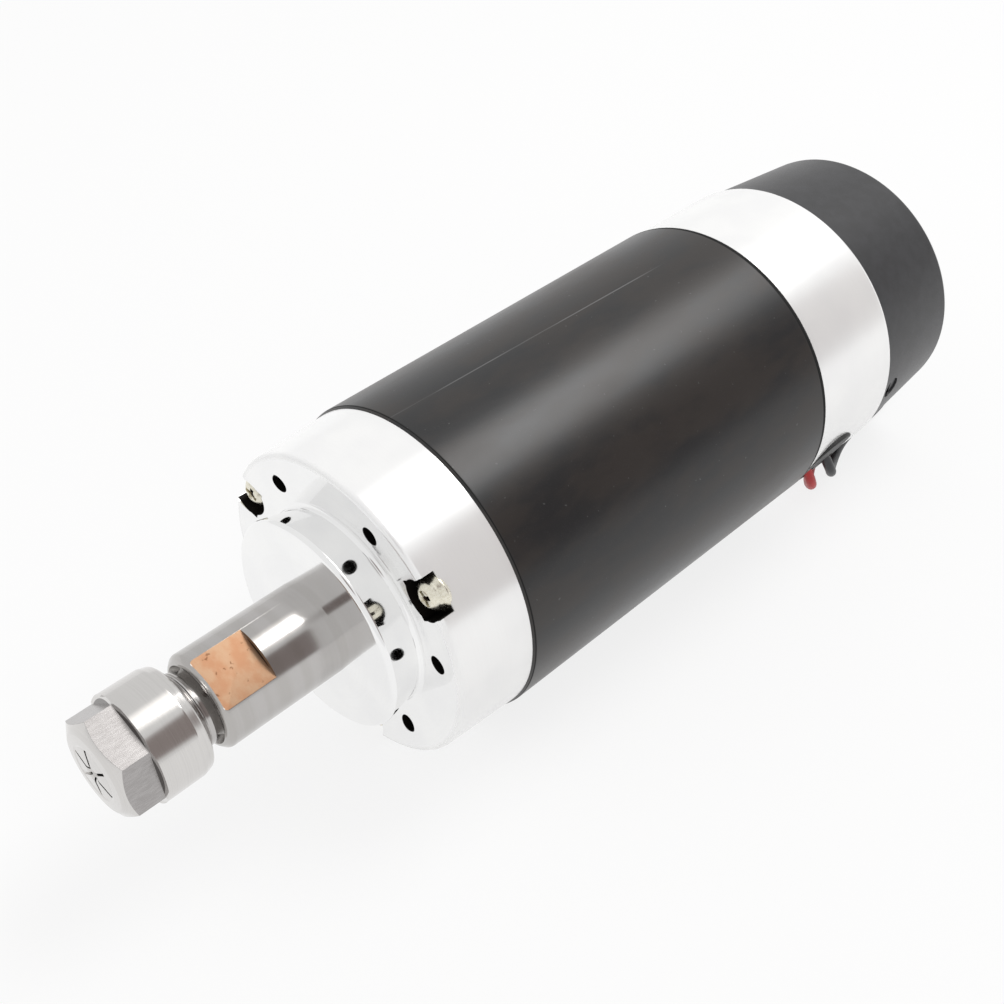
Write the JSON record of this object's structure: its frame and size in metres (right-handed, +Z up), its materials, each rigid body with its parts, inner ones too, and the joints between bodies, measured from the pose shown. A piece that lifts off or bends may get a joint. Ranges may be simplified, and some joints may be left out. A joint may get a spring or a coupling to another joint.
{
  "type": "motor spindle",
  "caption": "Air-cooled brushed motor spindle: black tube between turned aluminium bells, steel nose shaft with wrench flats, collet and hex collet nut, fan cap, two leads.",
  "frame": {"origin": "on the spindle axis at the front face of the front bell", "axes": "+X along the spindle from the collet nut to the fan cap, +Z up as the spindle lies, wrench-flat and lead side towards -Y"},
  "size_m": [0.2165, 0.0875, 0.06],
  "materials": {
    "tube_black": "satin black coating",
    "turned_aluminium": "fine turned, bright",
    "cap_black": "satin black coating",
    "ground_steel": "ground steel",
    "bright_steel": "polished steel",
    "bearing_steel": "polished",
    "screw_steel": "zinc plated",
    "dark_rubber": "matt rubber",
    "red_lead": "silicone rubber",
    "black_lead": "silicone rubber",
    "ferrite": "pressed ferrite",
    "lamination": "stacked sheet steel",
    "copper": "enamelled copper",
    "brass": "pressed brass",
    "insulation": "phenolic",
    "nylon": "moulded nylon",
    "black_plastic": "moulded plastic",
    "carbon": "pressed carbon",
    "tin": "tinned copper"
  },
  "bodies": {
    "housing": {"motor_tube": "tube_black", "front_bell": "turned_aluminium", "rear_bell": "turned_aluminium", "fan_cap": "cap_black", "front_screws": "screw_steel", "rear_screws": "screw_steel", "cap_screws": "screw_steel", "magnet_left": "ferrite", "magnet_right": "ferrite", "magnet_clips": "bright_steel", "front_bearing_outer": "bearing_steel", "front_bearing_shields": "bearing_steel", "rear_bearing_outer": "bearing_steel", "rear_bearing_shields": "bearing_steel", "wave_spring": "bright_steel", "brush_plate": "insulation", "brush_holder_top": "brass", "brush_holder_bottom": "brass", "brush_spring_top": "bright_steel", "brush_spring_bottom": "bright_steel", "lead_grommet": "dark_rubber", "lead_crimps": "brass", "lead_red": "red_lead", "lead_black": "black_lead", "lead_hank": "black_lead", "lead_tie": "black_plastic", "lead_tips": "tin"},
    "rotor": {"spindle_shaft": "ground_steel", "shaft_sleeve": "ground_steel", "front_bearing_inner": "bearing_steel", "rear_bearing_inner": "bearing_steel", "armature_core": "lamination", "core_insulators": "insulation", "windings": "copper", "commutator": "copper", "commutator_hub": "insulation", "fan": "black_plastic", "fan_clip": "bright_steel"},
    "front_balls": {"front_bearing_balls": "bearing_steel", "front_bearing_cage": "nylon"},
    "rear_balls": {"rear_bearing_balls": "bearing_steel", "rear_bearing_cage": "nylon"},
    "collet": {"collet": "bright_steel"},
    "nut": {"collet_nut": "bright_steel"},
    "brush_top": {"brush_top": "carbon"},
    "brush_bottom": {"brush_bottom": "carbon"}
  },
  "joints": [
    {"name": "rotor_spin", "type": "hinge", "parent": "housing", "child": "rotor", "pos_m": [0, 0, 0], "axis": [1, 0, 0], "continuous": true},
    {"name": "front_cage_spin", "type": "hinge", "parent": "housing", "child": "front_balls", "pos_m": [0.0085, 0, 0], "axis": [1, 0, 0], "continuous": true},
    {"name": "rear_cage_spin", "type": "hinge", "parent": "housing", "child": "rear_balls", "pos_m": [0.114, 0, 0], "axis": [1, 0, 0], "continuous": true},
    {"name": "nut_turn", "type": "hinge", "parent": "collet", "child": "nut", "pos_m": [-0.04, 0, 0], "axis": [1, 0, 0], "range_deg": [-2160, 0]},
    {"name": "collet_draw", "type": "slide", "parent": "rotor", "child": "collet", "axis": [1, 0, 0], "range_m": [-0.0045, 0]},
    {"name": "brush_top_feed", "type": "slide", "parent": "housing", "child": "brush_top", "axis": [0, 0, 1], "range_m": [0, 0.002], "stiffness_N_per_m": 400, "springref_m": -0.008, "deforming": ["brush_spring_top"]},
    {"name": "brush_bottom_feed", "type": "slide", "parent": "housing", "child": "brush_bottom", "axis": [0, 0, -1], "range_m": [0, 0.002], "stiffness_N_per_m": 400, "springref_m": -0.008, "deforming": ["brush_spring_bottom"]}
  ],
  "couplings": [
    {"joint": "front_cage_spin", "follows": "rotor_spin", "ratio": 0.3987},
    {"joint": "rear_cage_spin", "follows": "rotor_spin", "ratio": 0.3678},
    {"joint": "nut_turn", "follows": "collet_draw", "rad_per_m": 8377.6}
  ]
}
